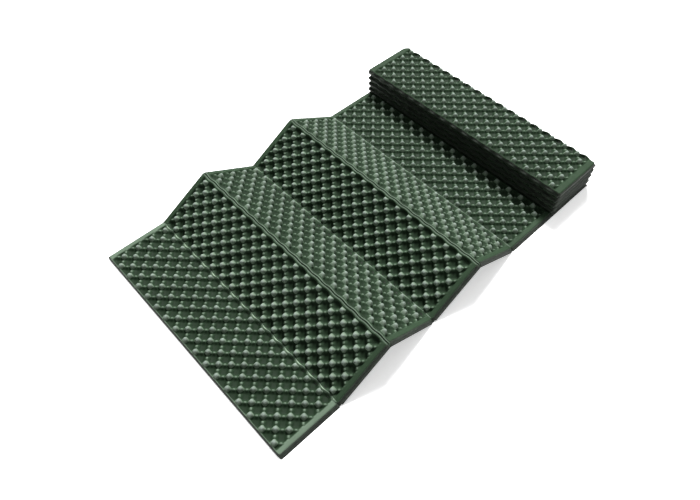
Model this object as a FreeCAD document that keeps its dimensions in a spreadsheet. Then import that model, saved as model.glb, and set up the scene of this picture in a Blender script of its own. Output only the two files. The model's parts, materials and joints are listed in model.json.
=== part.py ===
"""Concertina foam sleeping pad: fifteen egg-crate panels joined by moulded fold lines.

Millimetres, +Z up. X runs across the pad, Y runs from the loose end towards the folded stack.
The origin is at the middle of the footprint, on the ground.

The pad is one long strip of panels. Each panel is a base layer with a top layer laminated on it.
Two kinds of fold line take turns along the strip:
  peak folds bend over the underside, so their axis lies on the underside;
  dip folds bend over the top, so their axis lies at the height that one folded layer takes up.
Panel 1 lies flat, panels 2 to 5 stand in two low tents, panel 6 lies flat, and panels 7 to 15 are
folded down into a stack.
"""
import FreeCAD, Part
import math
import os

Vector = FreeCAD.Vector
Placement = FreeCAD.Placement
Rotation = FreeCAD.Rotation

PANEL_COUNT = 15
TENT_PANELS = (2, 3, 4, 5)
FIRST_STACK_PANEL = 8          # panel 7 lies flat under the stack, panel 8 is folded onto it

# name, value, what it is
DIMENSIONS = (
    ("pad_width", 510.0, "across the underside"),
    ("panel_pitch", 120.0, "fold line to fold line"),
    ("fold_height", 7.4, "height of a dip fold's axis, and of one folded layer"),
    ("fold_gap", 0.15, "from a layer's face to the plane that it folds against"),
    ("seam_height", 4.6, "where the top layer is laminated to the base layer"),
    ("web_radius", 2.0, "thickness of the foam left in a fold line"),
    ("fold_slope", 0.37, "how far a panel's end face leans back, per unit of height"),
    ("side_slope", 0.95, "how far a side wall leans in, per unit of height"),
    ("tent_angle", 28.75, "how steeply the tent panels stand, in degrees"),
)

doc = FreeCAD.newDocument("foam_sleeping_pad")
sheet = doc.addObject("Spreadsheet::Sheet", "sizes")
for row, (name, value, note) in enumerate(DIMENSIONS, start=1):
    sheet.set("A%d" % row, name)
    sheet.set("B%d" % row, str(value))
    sheet.set("C%d" % row, note)
    sheet.setAlias("B%d" % row, name)
doc.recompute()


# --- where each panel lies -------------------------------------------------------------------

def is_dip_fold(number):
    """Fold line 1, between panels 1 and 2, is a dip. After it the two kinds take turns."""
    return number % 2 == 1


def fold_axis_height(number):
    return sheet.fold_height if is_dip_fold(number) else 0.0


def panel_angle(number):
    """How far a panel is turned about +X from lying flat with its top up."""
    if number in TENT_PANELS:
        return sheet.tent_angle if number % 2 == 0 else -sheet.tent_angle
    if number >= FIRST_STACK_PANEL and number % 2 == 0:
        return 180.0
    return 0.0


def turned(angle, y, z):
    """A point of a panel's own section, turned with the panel."""
    return Rotation(Vector(1, 0, 0), angle).multVec(Vector(0, y, z))


def chain_panels():
    """Each panel's corner, the next panel starting where the last one's fold axis is."""
    corners = {1: Vector(0, 0, 0)}
    for number in range(1, PANEL_COUNT):
        height = fold_axis_height(number)
        axis = corners[number] + turned(panel_angle(number), sheet.panel_pitch, height)
        corners[number + 1] = axis - turned(panel_angle(number + 1), 0, height)
    return corners


def centred(corners):
    """The same corners, moved so that the middle of the footprint is at Y zero."""
    far_edge = corners[7].y + sheet.panel_pitch + sheet.web_radius
    shift = Vector(0, -far_edge / 2, 0)
    return {number: corner + shift for number, corner in corners.items()}


panel_corner = centred(chain_panels())


def panel_placement(number):
    return Placement(panel_corner[number], Rotation(Vector(1, 0, 0), panel_angle(number)))


# --- the two layers of a panel ---------------------------------------------------------------

LOW = "sizes.fold_gap"
SEAM = "sizes.seam_height"
HIGH = "(sizes.fold_height - sizes.fold_gap)"


def end_inset(fold_number, level, owns_web):
    """Expression for how far a panel's end stands back from its fold line at one level.

    The panel before a fold line carries the web, so its end face runs into the fold's axis.
    The panel after it stands clear of the web. A loose end has no fold line, and leans back
    from its foot.
    """
    if fold_number in (0, PANEL_COUNT):
        return "%s * sizes.fold_slope" % level
    depth = "(sizes.fold_height - %s)" % level if is_dip_fold(fold_number) else level
    lean = "%s * sizes.fold_slope" % depth
    if owns_web:
        return lean
    return "sizes.web_radius + sizes.fold_gap + %s" % lean


def add_layer(label, number, low, high):
    """A slab with sloping walls, between two levels of a panel.

    A wedge grows along its own Y, so it is turned to grow upwards. Its Z then runs backwards
    along the panel's length.
    """
    wedge = doc.addObject("Part::Wedge", label)
    wedge.Label = label
    wedge.setExpression("Ymin", low)
    wedge.setExpression("Ymax", high)
    for level, prefix in ((low, ""), (high, "2")):
        side = "(sizes.pad_width / 2 - %s * sizes.side_slope)" % level
        start = end_inset(number - 1, level, owns_web=False)
        end = end_inset(number, level, owns_web=True)
        wedge.setExpression("X%smin" % prefix, "-" + side)
        wedge.setExpression("X%smax" % prefix, side)
        wedge.setExpression("Z%smin" % prefix, "%s - sizes.panel_pitch" % end)
        wedge.setExpression("Z%smax" % prefix, "-(%s)" % start)
    upright = Placement(Vector(0, 0, 0), Rotation(Vector(1, 0, 0), 90))
    wedge.Placement = panel_placement(number).multiply(upright)
    return wedge


# --- the web left in a fold line -------------------------------------------------------------

def add_web(label, number):
    """A round-faced sliver of foam on a fold's axis, against the end face of the panel before."""
    web = doc.addObject("Part::Cylinder", label)
    web.Label = label
    web.setExpression("Radius", "sizes.web_radius")
    reach = "sizes.fold_height" if is_dip_fold(number) else "sizes.web_radius"
    half_length = "(sizes.pad_width / 2 - %s * sizes.side_slope)" % reach
    web.setExpression("Height", "2 * " + half_length)
    web.setExpression("Angle", "(90 + atan(sizes.fold_slope) / 1 deg) * 1 deg")
    doc.recompute()
    along_x = Rotation(Vector(1, 1, 1), 120)
    swing = -web.Angle.Value if is_dip_fold(number) else 0.0
    turn = Rotation(Vector(1, 0, 0), swing).multiply(along_x)
    base = Vector(-web.Height.Value / 2, sheet.panel_pitch, fold_axis_height(number))
    web.Placement = panel_placement(number).multiply(Placement(base, turn))
    return web


parts = []
for number in range(1, PANEL_COUNT + 1):
    parts.append(add_layer("panel_%02d_base" % number, number, LOW, SEAM))
    parts.append(add_layer("panel_%02d_top" % number, number, SEAM, HIGH))
for number in range(1, PANEL_COUNT):
    parts.append(add_web("fold_%02d_web" % number, number))
doc.recompute()


# --- check and write -------------------------------------------------------------------------

for item in doc.Objects:
    if "Invalid" in item.State or "Error" in item.State:
        raise RuntimeError("%s did not compute" % item.Label)
for item in parts:
    if item.Shape.isNull() or not item.Shape.isValid():
        raise RuntimeError("%s has no valid shape" % item.Label)

os.makedirs("parts", exist_ok=True)
for item in parts:
    item.Shape.exportStep("parts/%s.step" % item.Label)

box = parts[0].Shape.BoundBox
for item in parts:
    box.add(item.Shape.BoundBox)
print("%d nodes" % len(parts))
print("box X %.2f to %.2f, Y %.2f to %.2f, Z %.2f to %.2f"
      % (box.XMin, box.XMax, box.YMin, box.YMax, box.ZMin, box.ZMax))
print("panel pitch summed over the strip: %.0f mm" % (PANEL_COUNT * sheet.panel_pitch))
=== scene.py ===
# Looks of the concertina foam sleeping pad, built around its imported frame.
# The frame and Blender are in metres, +Z up: X runs across the pad, Y from the loose end towards the
# folded stack. The pad's own pattern is drawn in millimetres in the plane of one panel, and put
# where the fold axes of the frame say that panel lies.
import json
import math
from collections import namedtuple

import bmesh
import bpy
import numpy as np
from mathutils import Matrix, Vector


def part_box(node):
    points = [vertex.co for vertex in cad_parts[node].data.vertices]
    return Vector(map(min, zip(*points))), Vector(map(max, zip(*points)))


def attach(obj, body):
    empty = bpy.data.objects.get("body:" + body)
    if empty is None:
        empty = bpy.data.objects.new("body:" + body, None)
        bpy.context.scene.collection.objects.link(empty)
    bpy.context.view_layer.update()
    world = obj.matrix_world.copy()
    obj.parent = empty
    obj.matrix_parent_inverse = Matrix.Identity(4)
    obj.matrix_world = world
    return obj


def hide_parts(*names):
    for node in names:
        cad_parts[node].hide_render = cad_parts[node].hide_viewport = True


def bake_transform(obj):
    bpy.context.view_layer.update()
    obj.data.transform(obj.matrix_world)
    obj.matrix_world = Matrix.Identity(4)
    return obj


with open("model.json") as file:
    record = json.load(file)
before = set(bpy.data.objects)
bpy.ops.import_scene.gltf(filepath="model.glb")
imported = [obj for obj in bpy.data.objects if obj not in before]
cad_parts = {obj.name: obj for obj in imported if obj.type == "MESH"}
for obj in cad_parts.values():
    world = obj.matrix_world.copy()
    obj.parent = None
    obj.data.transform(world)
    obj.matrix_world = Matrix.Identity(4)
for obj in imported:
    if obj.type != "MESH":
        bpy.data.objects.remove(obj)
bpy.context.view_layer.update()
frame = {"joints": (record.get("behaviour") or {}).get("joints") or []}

MM = 0.001
PANELS = range(1, 16)
FOLDS = range(1, 15)


# --- the pad's sizes, in millimetres ----------------------------------------------------------

def fold_axis(number):
    """A point on a fold line's axis, in metres."""
    name = "fold_%02d" % number
    return next(Vector(joint["pos_m"]) for joint in frame["joints"] if joint["name"] == name)


# Panel 7 lies flat between a peak fold, whose axis is on the ground, and a dip fold, whose axis is
# as high as one folded layer.
PITCH = (fold_axis(7).y - fold_axis(6).y) / MM
FOLD_HEIGHT = (fold_axis(7).z - fold_axis(6).z) / MM
HALF_WIDTH = (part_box("panel_07_base")[1].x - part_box("panel_07_base")[0].x) / 2 / MM
FOLD_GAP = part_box("panel_07_base")[0].z / MM  # half the air between two folded undersides
LAND = FOLD_HEIGHT - FOLD_GAP  # height of the flat border strip

STEPS_ACROSS = 34.48  # the pad's width, in steps of the bumps' lattice
LATTICE = 2 * HALF_WIDTH / STEPS_ACROSS  # from one row of bumps to the next
ROWS = 8  # of bumps on a panel, one after the other along Y
FIRST_ROW = (PITCH - (ROWS - 1) * LATTICE) / 2
FIRST_BUMP = -14.5 * LATTICE  # X of a bump in the first row
PIT_FLOOR = 1.6  # heights are above the plane of the peak folds' axes
KNOB_TOP = 12.7
KNOB_RADIUS = 4.8
KNOB_BLUNTNESS = 3.4  # 2 is a bell, more is a blunter dome
RIDGE_POWERS = (2.8, 3.6)  # how narrow the ridges between the bumps are, for the two ways they run
CROSS_RIDGE_TOP = 0.95  # the narrower ridges are a little lower
NECK_DEPTH = 2.3  # how far a ridge sinks between a bump and the ridge's own flat middle
NECK_PLACE = 7.0  # from the bump's middle
NECK_WIDTH = 1.4
HOLLOW_DEPTH = 4.6  # of the dimple under each bump
HOLLOW_RADIUS = 5.5
SEAM_SHARE = 0.4  # of the thickness is base foam
SEAM_EDGE = 6.4  # height of the seam at the panel's edges, where the green is pinched thin
EDGE_ROUNDING = 0.8

SIDE_SLOPE = 0.95  # how far a side wall leans in, per unit of height
SIDE_SLOPES = {15: 0.35}  # the panels whose sides weren't pinched as much
LOOSE_SLOPE = 0.37  # the same at a loose end
DIP_SLOPE = 0.12  # how far an end wall leans back under a dip fold
DIP_GAP = 0.25  # from a dip fold's axis to each panel beside it
PEAK_GAP = 0.45  # half the width of a peak fold's groove when the pad lies flat
MEANDER = {"peak": 0.9, "dip": 1.2}  # how far a fold line swings between the staggered pits
SIDE_LAND = (16.0 * LATTICE, 16.35 * LATTICE)  # where the side border starts, and is flat
# How far in from the end the end border is flat, and how far in it is gone.
END_LAND = {"peak": (1.1, 4.4), "dip": (1.2, 3.4), "loose": (0.5, 2.2)}
CORNER_RADIUS = {1: 3.0, 15: 10.0}  # of the two corners at a loose end
SCALLOP = {15: 2.3}  # how far a loose end swells between the bumps beside it
STRIP_TONE = {1: 0.44, 15: 0.22}  # how pale a border strip is, from 0 to 1
USUAL_STRIP_TONE = 0.32

CELLS_PER_STEP = 4  # of the grid that a panel is made on
CELL = LATTICE / CELLS_PER_STEP
COLUMNS = 2 * int((HALF_WIDTH - SIDE_SLOPE * LAND) / CELL)
CELLS_BEFORE_FIRST_ROW = 2
PANEL_CELLS = CELLS_PER_STEP * (ROWS - 1) + 2 * CELLS_BEFORE_FIRST_ROW
TOP_CUTS = 2  # how many times the top face's cells are cut again
ON_RIM = 0.01  # cells: a grid point this near to the grid's edge is on it
MIDWAY = 0.5  # tells the two ends of a piece apart while it is one unit thick or long


# --- where each panel lies --------------------------------------------------------------------

def is_dip(fold_number):
    return fold_number % 2 == 1


def axis_height(fold_number):
    return FOLD_HEIGHT if is_dip(fold_number) else 0.0


def panel_angle(number):
    """How far a panel is turned about +X, from the fold axes at its two ends."""
    if number in (1, 15):
        return 0.0
    run = fold_axis(number) - fold_axis(number - 1)
    rise = axis_height(number) - axis_height(number - 1)
    return math.atan2(run.z, run.y) - math.atan2(rise, PITCH)


def panel_frame(number):
    """Puts a panel's own section, in metres, where it lies."""
    turn = Matrix.Rotation(panel_angle(number), 4, "X")
    if number > 1:
        corner = fold_axis(number - 1) - turn @ Vector((0, 0, axis_height(number - 1) * MM))
    else:
        corner = fold_axis(1) - turn @ Vector((0, PITCH * MM, axis_height(1) * MM))
    return Matrix.Translation(corner) @ turn


Outline = namedtuple("Outline", "kinds side_slope corner_radius scallop strip_tone")


def panel_outline(number):
    """What sets one panel's shape apart. The kinds are what its two ends are: a loose end, or a
    fold of one kind or the other."""
    kinds = ["dip" if is_dip(fold) else "peak" for fold in (number - 1, number)]
    if number == 1:
        kinds[0] = "loose"
    if number == 15:
        kinds[1] = "loose"
    return Outline(tuple(kinds), SIDE_SLOPES.get(number, SIDE_SLOPE), CORNER_RADIUS.get(number, 0),
                   SCALLOP.get(number, 0), STRIP_TONE.get(number, USUAL_STRIP_TONE))


# --- the moulded shape of a panel -------------------------------------------------------------

def smooth(t):
    t = np.clip(t, 0, 1)
    return t * t * (3 - 2 * t)


def stagger(x):
    """1 in line with one row's bumps, and -1 in line with the next row's."""
    return np.cos(math.pi * (x - FIRST_BUMP) / LATTICE)


def swing(kind, x):
    """How a fold line meanders between the pits on its two sides."""
    return MEANDER[kind] * stagger(x)


def end_line(outline, side, level, x):
    """Y of a panel's end face at one height: side is -1 at its start and 1 at its end."""
    line = 0.0 if side < 0 else PITCH
    kind = outline.kinds[0 if side < 0 else 1]
    if kind == "peak":
        share = level / LAND
        return line - side * PEAK_GAP * share + swing(kind, x) * share
    if kind == "dip":
        return line - side * (DIP_GAP + DIP_SLOPE * (LAND - level)) + swing(kind, x)
    return line - side * (LOOSE_SLOPE * level - outline.scallop * stagger(x))


def plan(column, row, level, outline):
    """X and Y of grid points: the outermost cells stretch to the panel's outline at that height."""
    inner = COLUMNS / 2 - 1
    reach = np.abs(column - COLUMNS / 2)
    overhang = HALF_WIDTH - outline.side_slope * level - inner * CELL
    x = np.sign(column - COLUMNS / 2) * (
        np.minimum(reach, inner) * CELL + np.maximum(reach - inner, 0) * overhang
    )
    first = FIRST_ROW + (1 - CELLS_BEFORE_FIRST_ROW) * CELL
    last = first + (PANEL_CELLS - 2) * CELL
    y = first + (np.clip(row, 1, PANEL_CELLS - 1) - 1) * CELL
    start = end_line(outline, -1, level, x)
    end = end_line(outline, 1, level, x)
    y = y + np.maximum(1 - row, 0) * (start - first)
    y = y + np.maximum(row - PANEL_CELLS + 1, 0) * (end - last)
    return x, y


def round_corners(x, y, level, outline):
    """Pulls the two corners of a loose end in to a quarter circle."""
    radius = outline.corner_radius
    side = -1 if outline.kinds[0] == "loose" else 1
    edge = end_line(outline, side, level, x)
    a = (np.abs(x) - (HALF_WIDTH - outline.side_slope * level) + radius) / radius
    b = (side * (y - edge) + radius) / radius
    corner = (a > 0) & (b > 0)
    a, b = np.clip(a, 0, 1), np.clip(b, 0, 1)
    pulled_a = a * np.sqrt(1 - b * b / 2)
    pulled_b = b * np.sqrt(1 - a * a / 2)
    x = np.where(corner, x + np.sign(x) * (pulled_a - a) * radius, x)
    y = np.where(corner, y + side * (pulled_b - b) * radius, y)
    return x, y


def lattice_distances(x, y):
    """How far a point is from the nearest ridge line each way, in ridge spacings."""
    across = (x - FIRST_BUMP) / LATTICE
    along = (y - FIRST_ROW) / LATTICE
    one = (across + along) / 2
    other = (across - along) / 2
    return one - np.round(one), other - np.round(other)


def border(x, y, outline):
    """1 on the flat border strip, falling to 0 where the bumps begin, for sides and ends."""
    start, full = SIDE_LAND
    sides = smooth((np.abs(x) - start) / (full - start))
    ends = np.zeros_like(x)
    for side, kind in zip((-1, 1), outline.kinds):
        flat, gone = END_LAND[kind]
        inside = -side * (y - end_line(outline, side, LAND, x))
        ends = np.maximum(ends, 1 - smooth((inside - flat) / (gone - flat)))
    return sides, ends


def moulded_heights(x, y, outline):
    """Heights of the top face and of the underside, and where the border strip is."""
    one, other = lattice_distances(x, y)
    main, cross = [((1 + np.cos(2 * math.pi * distance)) / 2) ** power
                   for distance, power in zip((one, other), RIDGE_POWERS)]
    ridge = 1 - (1 - main) * (1 - CROSS_RIDGE_TOP * cross)
    radius = math.sqrt(2) * LATTICE * np.hypot(one, other)
    sides, ends = border(x, y, outline)
    knob = np.exp(-((radius / KNOB_RADIUS) ** KNOB_BLUNTNESS)) * (1 - sides) * (1 - ends) ** 2
    neck = NECK_DEPTH * np.exp(-(((radius - NECK_PLACE) / NECK_WIDTH) ** 2))
    hollow = np.exp(-((radius / HOLLOW_RADIUS) ** 2)) * (1 - sides) * (1 - ends)
    strip = np.maximum(sides, ends)
    top = PIT_FLOOR + (LAND - PIT_FLOOR) * np.maximum(ridge, strip)
    top = top - neck * ridge * (1 - strip)
    top = top + (KNOB_TOP - LAND) * knob
    return top, FOLD_GAP + HOLLOW_DEPTH * hollow, strip


def slab(upper_cuts):
    """A closed slab, one unit thick, of cells one unit square. Its upper face is cut finer."""
    mesh = bmesh.new()
    bmesh.ops.create_grid(mesh, x_segments=COLUMNS, y_segments=PANEL_CELLS, size=0.5)
    bmesh.ops.translate(mesh, verts=mesh.verts, vec=(0.5, 0.5, 0))
    bmesh.ops.scale(mesh, verts=mesh.verts, vec=(COLUMNS, PANEL_CELLS, 1))
    raised = bmesh.ops.extrude_face_region(mesh, geom=mesh.faces[:])["geom"]
    upper = [item for item in raised if isinstance(item, bmesh.types.BMVert)]
    bmesh.ops.translate(mesh, verts=upper, vec=(0, 0, 1))
    if upper_cuts:
        edges = [edge for edge in mesh.edges if min(vert.co.z for vert in edge.verts) > MIDWAY]
        bmesh.ops.subdivide_edges(mesh, edges=edges, cuts=upper_cuts, use_grid_fill=True)
    bmesh.ops.recalc_face_normals(mesh, faces=mesh.faces)
    return mesh


def on_rim(column, row):
    """Whether a grid point, or each of an array of them, is on the edge of the slab."""
    return ((column < ON_RIM) | (column > COLUMNS - ON_RIM)
            | (row < ON_RIM) | (row > PANEL_CELLS - ON_RIM))


def shape_layer(mesh, outline, is_top_layer):
    """Moves the slab's points to their places in the panel. Returns how pale each point is: from
    0 in a pit, through 0.5 on a ridge, to 1 on a bump, and the outline's own tone on the border.
    The dark pits are painted shade and the pale ridges and bumps are a painted highlight."""
    grid = np.array([vert.co for vert in mesh.verts])
    column, row = grid[:, 0], grid[:, 1]
    upper = grid[:, 2] > MIDWAY
    rim = on_rim(column, row)
    result = np.zeros_like(grid)
    tone = np.zeros(len(grid))
    levels = (SEAM_EDGE, LAND) if is_top_layer else (FOLD_GAP, SEAM_EDGE)
    for is_upper, level in zip((False, True), levels):
        chosen = upper == is_upper
        x, y = plan(column[chosen], row[chosen], level, outline)
        top, underside, strip = moulded_heights(x, y, outline)
        # tone from the height: painted shade in the pits, painted highlight on the ridges and bumps
        tone[chosen] = np.interp(top, (PIT_FLOOR, LAND, KNOB_TOP), (0, 0.5, 1))
        tone[chosen] += (outline.strip_tone - 0.5) * strip
        if is_upper == is_top_layer:
            z = top if is_top_layer else underside
        else:
            z = underside + SEAM_SHARE * (top - underside)
        if outline.corner_radius:
            x, y = round_corners(x, y, level, outline)
        z = np.where(rim[chosen], level, z)
        result[chosen] = np.column_stack((x, y, z)) * MM
    for vert, place in zip(mesh.verts, result):
        vert.co = place
    return tone


def round_top_edge(mesh, upper_rim):
    """Bevels the edge between the top face and its walls."""
    edges = [edge for edge in mesh.edges if all(vert in upper_rim for vert in edge.verts)]
    bmesh.ops.bevel(mesh, geom=edges, offset=EDGE_ROUNDING * MM, offset_type="OFFSET",
                    segments=2, profile=0.5, affect="EDGES", material=-1, clamp_overlap=True)


def rim_points(mesh):
    """The points along the edge of the slab's upper face, while it is still in cell units."""
    return {vert for vert in mesh.verts
            if vert.co.z > MIDWAY and on_rim(vert.co.x, vert.co.y)}


def panel_layer_mesh(outline, is_top_layer):
    """One layer of a panel, in its own section's place, ready to be put on the pad."""
    mesh = slab(TOP_CUTS if is_top_layer else 0)
    upper_rim = rim_points(mesh)
    # holds each point's tone, with its painted shade and painted highlight
    tone_and_painted_light_layer = mesh.verts.layers.float.new("tone_and_painted_light")
    tones = shape_layer(mesh, outline, is_top_layer)
    for vert, tone in zip(mesh.verts, tones):
        vert[tone_and_painted_light_layer] = tone
    if is_top_layer:
        round_top_edge(mesh, upper_rim)
    for face in mesh.faces:
        face.smooth = True
    data = bpy.data.meshes.new("layer")
    mesh.to_mesh(data)
    mesh.free()
    return data


# --- the strips of foam in the fold lines -----------------------------------------------------

WEB_SEGMENTS = 138  # along the strip
WEB_ROOT = 0.3  # a peak fold's strip starts this far beyond the axis
GROOVE_DEPTH = 3.2  # of foam is left over the axis at the bottom of a peak fold's groove
GROOVE_STEPS = 8  # in a strip's outline, from the middle of the groove to one side
DIP_WALL_STEPS = 8  # in the outline, from one panel's end wall to the other's
BEAD_STEPS = 12  # in the outline, round the bead
LIP_HEIGHT = 6.3  # of the two lips of soft foam that line the groove of an open peak fold
GROOVE_SHARE = (0.1, 0.5)  # of half the fan: where a lip starts to rise, and where it is full
LIP_TONE = 0.5  # how pale a lip is
LIP_FADE_START = 1.0  # above the groove's bottom, where the lip starts to pale
LIP_FADE_LENGTH = 2.0
DIP_WEB_RADIUS = {"open": 5.9, "closed": 4.5}  # of the strip between two panels' end walls
BEAD_RADIUS = 1.15
BEAD_SWELL = 0.25  # the bead is thicker beside the bumps of the panel before it
BEAD_LIMIT = 2.1  # nearer to the axis than this, a dip fold's strip is its green bead
BEAD_TONE = {1: (0.5, 0.4)}  # how pale the bead is, and how much that swings along it
USUAL_BEAD_TONE = (0.55, 0.12)
BEAD_FADE = 8.0  # mm at each end, where the bead runs down into the dark side wall
WEB_MARGIN = math.radians(4)  # how far the strip runs into the foam on each side
FLAT_FAN = math.radians(20)  # a fold whose strip spans less than this lies flat
CLOSED_FAN = math.radians(120)  # a fold whose strip spans more than this is folded shut


def web_fan(number):
    """The directions, about a fold's axis, of the end walls of the panels on its two sides. A peak
    fold's are a little way into the foam."""
    before, after = panel_angle(number), panel_angle(number + 1)
    if is_dip(number):
        lean = math.atan(DIP_SLOPE)
        return before - math.pi / 2 - lean, after - math.pi / 2 + lean
    return before + math.pi / 2 + WEB_MARGIN, after + math.pi / 2 - WEB_MARGIN


def dip_web_radius(number):
    first, last = web_fan(number)
    return DIP_WEB_RADIUS["closed" if last - first > CLOSED_FAN else "open"]


def around_axis(reach, direction):
    """(y, z) of a point at a distance and a direction from a fold's axis."""
    return reach * math.cos(direction), reach * math.sin(direction)


def web_profile(number):
    """Outline of a fold's strip about its axis, as (y, z) in millimetres."""
    first, last = web_fan(number)
    if is_dip(number):
        wall = dip_web_radius(number)
        points = [around_axis(wall, first + (last - first) * step / DIP_WALL_STEPS)
                  for step in range(DIP_WALL_STEPS + 1)]
        rest_of_turn = first + 2 * math.pi - last
        points += [around_axis(BEAD_RADIUS, last + rest_of_turn * step / BEAD_STEPS)
                   for step in range(1, BEAD_STEPS)]
        return points
    middle = (first + last) / 2
    points = [around_axis(-WEB_ROOT, middle)]
    lip = LIP_HEIGHT if FLAT_FAN < first - last < CLOSED_FAN else GROOVE_DEPTH
    start, full = GROOVE_SHARE
    for step in range(-GROOVE_STEPS, GROOVE_STEPS + 1):
        share = step / GROOVE_STEPS
        rise = smooth((abs(share) - start) / (full - start))
        reach = GROOVE_DEPTH + (lip - GROOVE_DEPTH) * rise
        points.append(around_axis(reach, middle + (last - first) / 2 * share))
    return points


def web_mesh(number):
    """A strip of that outline, as long as the pad is wide there."""
    mesh = bmesh.new()
    ring = [mesh.verts.new((0, y, z)) for y, z in web_profile(number)]
    cap = mesh.faces.new(ring)
    pulled = bmesh.ops.extrude_face_region(mesh, geom=[cap])["geom"]
    far = [item for item in pulled if isinstance(item, bmesh.types.BMVert)]
    bmesh.ops.translate(mesh, verts=far, vec=(1, 0, 0))
    long_edges = [edge for edge in mesh.edges
                  if abs(edge.verts[0].co.x - edge.verts[1].co.x) > MIDWAY]
    bmesh.ops.subdivide_edges(mesh, edges=long_edges, cuts=WEB_SEGMENTS - 1)
    bmesh.ops.recalc_face_normals(mesh, faces=mesh.faces)
    axis = fold_axis(number)
    along = Vector((0, math.cos(panel_angle(number)), math.sin(panel_angle(number))))
    tone_and_painted_light_layer = mesh.verts.layers.float.new("tone_and_painted_light")
    kind = "dip" if is_dip(number) else "peak"
    first, last = web_fan(number)
    meanders = abs(first - last) > FLAT_FAN  # a flat fold's walls are too close together
    for vert in mesh.verts:
        reach = math.hypot(vert.co.y, vert.co.z)
        is_bead = is_dip(number) and reach < BEAD_LIMIT
        height = reach
        if is_dip(number):
            height = FOLD_HEIGHT if is_bead else FOLD_HEIGHT - reach
        x = (2 * vert.co.x - 1) * (HALF_WIDTH - SIDE_SLOPE * height)
        shift = float(swing(kind, x)) if meanders else 0.0
        swell = 1 - BEAD_SWELL * shift / MEANDER[kind] if is_bead else 1.0
        if is_bead:
            usual, change = BEAD_TONE.get(number, USUAL_BEAD_TONE)
            inset = HALF_WIDTH - SIDE_SLOPE * height - abs(x)
            fade = min(1.0, inset / BEAD_FADE)
            vert[tone_and_painted_light_layer] = fade * (usual - change * shift / MEANDER[kind])
        # a peak fold's groove darkens towards its bottom and a dip fold's strip outside its bead
        # stays at tone 0: painted shade
        elif not is_dip(number):
            paling = smooth((reach - GROOVE_DEPTH - LIP_FADE_START) / LIP_FADE_LENGTH)
            vert[tone_and_painted_light_layer] = LIP_TONE * float(paling)
        offset = Vector((x, vert.co.y * swell, vert.co.z * swell)) * MM
        share = 1.0 if is_dip(number) else reach / LAND
        offset += along * shift * share * MM
        vert.co = Vector((0, axis.y, axis.z)) + offset
    for face in mesh.faces:
        face.smooth = len(face.verts) == 4
    data = bpy.data.meshes.new("fold_%02d_strip" % number)
    mesh.to_mesh(data)
    mesh.free()
    return data


def turns_backwards(number):
    """Whether the next panel turns about -X as a fold goes to the far end of its travel: the dip
    folds open that way and fold 6 closes that way. A strip on a fold that goes through a half
    turn bends about +X, so there its two panels are listed in the other order."""
    return is_dip(number) or number == 6


def web_span(number):
    """Two points across a fold, where its strip meets the panel on each side."""
    axis = fold_axis(number)
    radius = (dip_web_radius(number) if is_dip(number) else LIP_HEIGHT) * MM
    return [axis + Vector((0, math.cos(a), math.sin(a))) * radius for a in web_fan(number)]


# --- materials --------------------------------------------------------------------------------

def srgb(hexcode):
    """A linear colour from an sRGB hex value."""
    parts = [int(hexcode[i:i + 2], 16) / 255 for i in (1, 3, 5)]
    linear = [p / 12.92 if p <= 0.04045 else ((p + 0.055) / 1.055) ** 2.4 for p in parts]
    return (*linear, 1.0)


def add_node(tree, kind, inputs=None, **settings):
    """A node with its settings; an input is given a value, or the socket that it is linked to."""
    node = tree.nodes.new(kind)
    for name, value in settings.items():
        setattr(node, name, value)
    for name, value in (inputs or {}).items():
        if isinstance(value, bpy.types.NodeSocket):
            tree.links.new(value, node.inputs[name])
        else:
            node.inputs[name].default_value = value
    return node


def new_material(name):
    material = bpy.data.materials.new(name)
    material.use_nodes = True
    material.node_tree.nodes.clear()
    return material, material.node_tree


def finish_material(tree, shader):
    add_node(tree, "ShaderNodeOutputMaterial", {"Surface": shader.outputs["BSDF"]})


def ramp(tree, factor, stops):
    """A colour ramp of (position, colour) stops, eased between them."""
    node = add_node(tree, "ShaderNodeValToRGB", {"Fac": factor})
    node.color_ramp.interpolation = "EASE"
    for position, _ in stops[2:]:
        node.color_ramp.elements.new(position)
    for element, (position, colour) in zip(node.color_ramp.elements, sorted(stops)):
        element.position = position
        element.color = srgb(colour)
    return node


CELL_GRAIN = 1.1  # mm: real closed cells are about 0.5 mm, drawn coarser so that they show
BLOTCH = 45.0  # mm: uneven dye from one part of the sheet to another
HANDLING = 9.0  # mm: patches that handling has polished
NOISE_LOW, NOISE_HIGH = 0.3, 0.7  # nearly all of a noise's values lie between these
BLOTCH_SWING = 0.12  # how much the dye varies, as a share of the colour
POLISH_SWING = 0.06  # how much handling changes the roughness
GRAIN_STRENGTH = 0.5
POLYETHYLENE_IOR = 1.49


def per_metre(size_mm):
    """A texture's scale on coordinates in metres, from the size of its features."""
    return 1 / (size_mm * MM)


def foam_noises(tree):
    place = add_node(tree, "ShaderNodeTexCoord").outputs["Object"]
    grain = add_node(tree, "ShaderNodeTexVoronoi",
                     {"Vector": place, "Scale": per_metre(CELL_GRAIN), "Randomness": 1.0},
                     feature="SMOOTH_F1")
    blotch = add_node(tree, "ShaderNodeTexNoise",
                      {"Vector": place, "Scale": per_metre(BLOTCH), "Detail": 3.0})
    handled = add_node(tree, "ShaderNodeTexNoise",
                       {"Vector": place, "Scale": per_metre(HANDLING), "Detail": 4.0})
    return grain, blotch, handled


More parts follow.
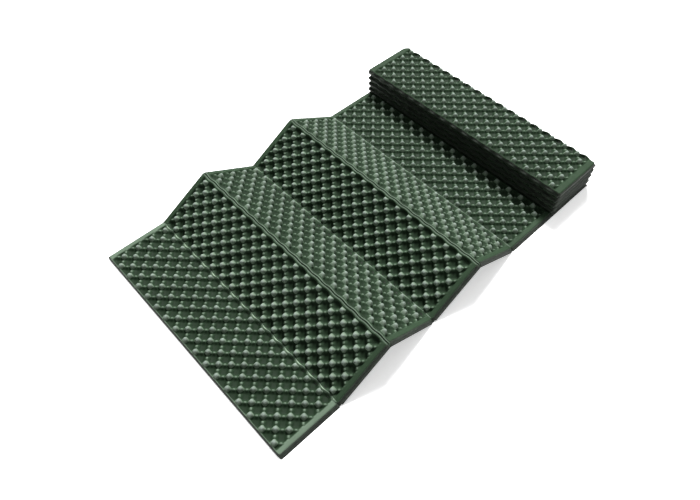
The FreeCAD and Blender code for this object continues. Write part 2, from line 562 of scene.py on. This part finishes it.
def foam_shader(tree, colour, noises, roughness, gloss_level, grain_height):
    """Closed-cell foam: a skin with a soft gloss, dimpled by its cells, in millimetres."""
    grain, blotch, handled = noises
    shade = add_node(tree, "ShaderNodeMapRange",
                     {"Value": blotch.outputs["Fac"],
                      "From Min": NOISE_LOW, "From Max": NOISE_HIGH,
                      "To Min": 1 - BLOTCH_SWING, "To Max": 1 + BLOTCH_SWING})
    varied = add_node(tree, "ShaderNodeVectorMath",
                      {0: colour, "Scale": shade.outputs["Result"]}, operation="SCALE")
    gloss = add_node(tree, "ShaderNodeMapRange",
                     {"Value": handled.outputs["Fac"],
                      "From Min": NOISE_LOW, "From Max": NOISE_HIGH,
                      "To Min": roughness - POLISH_SWING, "To Max": roughness + POLISH_SWING})
    dimples = add_node(tree, "ShaderNodeBump",
                       {"Height": grain.outputs["Distance"], "Strength": GRAIN_STRENGTH,
                        "Distance": grain_height * MM})
    return add_node(tree, "ShaderNodeBsdfPrincipled",
                    {"Base Color": varied.outputs["Vector"], "Roughness": gloss.outputs["Result"],
                     "IOR": POLYETHYLENE_IOR, "Specular IOR Level": gloss_level,
                     "Normal": dimples.outputs["Normal"]})


def green_foam():
    """Cross-linked polyethylene foam, dyed dull green and hot-moulded. Its colour follows the
    moulded height: darker down in the pits as painted shade, paler on the ridges and bumps as
    painted highlight."""
    material, tree = new_material("hot_moulded_green_polyethylene_foam")
    noises = foam_noises(tree)
    height = add_node(tree, "ShaderNodeAttribute", attribute_name="tone_and_painted_light")
    # painted shade in the pits, painted highlight on the ridges and bumps
    colour = ramp(tree, height.outputs["Fac"], [
        (0.0, "#1d2b1d"), (0.3, "#2d3e2d"), (0.5, "#657665"), (0.7, "#6f7d6e"), (1.0, "#77837a")])
    shader = foam_shader(tree, colour.outputs["Color"], noises,
                         roughness=0.6, gloss_level=0.07, grain_height=0.10)
    finish_material(tree, shader)
    return material


def base_foam():
    """Near-black polyethylene foam, laminated under the green, cut and pinched at its edges."""
    material, tree = new_material("laminated_black_polyethylene_foam")
    noises = foam_noises(tree)
    _, _, handled = noises
    colour = ramp(tree, handled.outputs["Fac"],
                  [(NOISE_LOW, "#282d27"), (NOISE_HIGH, "#323931")])
    shader = foam_shader(tree, colour.outputs["Color"], noises,
                         roughness=0.65, gloss_level=0.15, grain_height=0.12)
    finish_material(tree, shader)
    return material


def fold_skin():
    """Green polyethylene foam crushed almost solid along a fold. Where it is pulled tight over a
    dip fold's bead it pales, and down in a groove or between two end walls it is darkened as painted
    shade."""
    material, tree = new_material("crushed_green_polyethylene_skin")
    noises = foam_noises(tree)
    height = add_node(tree, "ShaderNodeAttribute", attribute_name="tone_and_painted_light")
    # darkest in the grooves and crevices of the folds, painted shade
    colour = ramp(tree, height.outputs["Fac"], [
        (0.0, "#20281f"), (0.1, "#495a4a"), (0.5, "#556655"), (0.9, "#82957f")])
    shader = foam_shader(tree, colour.outputs["Color"], noises,
                         roughness=0.55, gloss_level=0.18, grain_height=0.05)
    finish_material(tree, shader)
    return material


def studio_floor():
    """Opal acrylic over a light table, which lifts the shadows that fall on it."""
    material, tree = new_material("opal_acrylic_light_table")
    shader = add_node(tree, "ShaderNodeBsdfPrincipled",
                      {"Base Color": srgb("#f2f2f2"), "Roughness": 0.9,
                       "Emission Color": srgb("#ffffff"), "Emission Strength": 0.55})
    finish_material(tree, shader)
    return material


# --- the pieces -------------------------------------------------------------------------------

def add_object(name, data):
    item = bpy.data.objects.new(name, data)
    bpy.context.scene.collection.objects.link(item)
    return item


def build_panels(top_material, base_material):
    """The two layers of each panel. Panels with the same outline are copies of one pattern."""
    patterns = {}
    for number in PANELS:
        outline = panel_outline(number)
        for layer, material in (("top", top_material), ("base", base_material)):
            if (outline, layer) not in patterns:
                pattern = panel_layer_mesh(outline, is_top_layer=layer == "top")
                pattern.materials.append(material)
                patterns[outline, layer] = pattern
            data = patterns[outline, layer].copy()
            data.transform(panel_frame(number))
            piece = add_object("panel_%02d_%s_foam" % (number, layer), data)
            data.name = piece.name
            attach(piece, "panel_%02d" % number)
            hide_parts("panel_%02d_%s" % (number, layer))
    for pattern in patterns.values():
        bpy.data.meshes.remove(pattern)


def build_webs(skin_material):
    """The crushed strip in each fold, shaped to lie between its two panels."""
    for number in FOLDS:
        data = web_mesh(number)
        data.materials.append(skin_material)
        piece = add_object("fold_%02d_crushed_strip" % number, data)
        sides = [("panel_%02d" % (number + i), place) for i, place in enumerate(web_span(number))]
        if turns_backwards(number):
            sides.reverse()
        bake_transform(piece)
        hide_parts("fold_%02d_web" % number)


# --- studio -----------------------------------------------------------------------------------

FLOOR_REACH = 60.0  # metres, so that its edge is lost in the haze
HAZE_TOP = (0.12, 0.35)  # sines of the angles above level where the haze starts to thin, and ends
HAZE_LIGHT = 0.62
SKY_LIGHT = 0.11

CAMERA_PLACE = (0.5236, -0.4968, 0.8989)
CAMERA_HEADING = math.radians(137.71)  # from +X towards +Y
CAMERA_DIP = math.radians(54.14)  # below level
CAMERA_ROLL = math.radians(-1.0)
CAMERA_LENS = 30.55  # mm
CAMERA_SENSOR = 36.0  # mm across


def build_camera():
    data = bpy.data.cameras.new("camera")
    data.sensor_width = CAMERA_SENSOR
    data.lens = CAMERA_LENS
    data.clip_start = 0.01
    camera = add_object("camera", data)
    turn = (Matrix.Rotation(CAMERA_HEADING - math.pi / 2, 4, "Z")
            @ Matrix.Rotation(math.pi / 2 - CAMERA_DIP, 4, "X")
            @ Matrix.Rotation(CAMERA_ROLL, 4, "Z"))
    camera.matrix_world = Matrix.Translation(CAMERA_PLACE) @ turn
    bpy.context.scene.camera = camera


def area_light(name, place, size, power):
    """A square soft box, so many metres wide and of so many watts, aimed at the origin."""
    data = bpy.data.lights.new(name, "AREA")
    data.size = size
    data.energy = power
    light = add_object(name, data)
    facing = (-Vector(place)).to_track_quat("-Z", "Y")
    light.matrix_world = Matrix.Translation(place) @ facing.to_matrix().to_4x4()


def studio_air():
    """An even grey light from above, with a pale haze low down where the floor ends."""
    world = bpy.data.worlds.new("studio_air")
    world.use_nodes = True
    tree = world.node_tree
    tree.nodes.clear()
    direction = add_node(tree, "ShaderNodeTexCoord").outputs["Generated"]
    height = add_node(tree, "ShaderNodeSeparateXYZ", {"Vector": direction}).outputs["Z"]
    haze = add_node(tree, "ShaderNodeMapRange",
                    {"Value": height, "From Min": HAZE_TOP[0], "From Max": HAZE_TOP[1],
                     "To Min": HAZE_LIGHT, "To Max": SKY_LIGHT})
    air = add_node(tree, "ShaderNodeBackground",
                   {"Color": srgb("#ffffff"), "Strength": haze.outputs["Result"]})
    add_node(tree, "ShaderNodeOutputWorld", {"Surface": air.outputs["Background"]})
    return world


def build_studio():
    mesh = bmesh.new()
    bmesh.ops.create_grid(mesh, x_segments=1, y_segments=1, size=FLOOR_REACH)
    data = bpy.data.meshes.new("floor")
    mesh.to_mesh(data)
    mesh.free()
    data.materials.append(studio_floor())
    add_object("floor", data)
    area_light("back_softbox", place=(-2.0, 2.35, 4.2), size=1.5, power=590)
    area_light("top_softbox", place=(0.0, 0.3, 2.4), size=1.8, power=14)
    bpy.context.scene.world = studio_air()
    bpy.context.scene.view_settings.view_transform = "Standard"


black = base_foam()
build_panels(green_foam(), black)
build_webs(fold_skin())
build_camera()
build_studio()
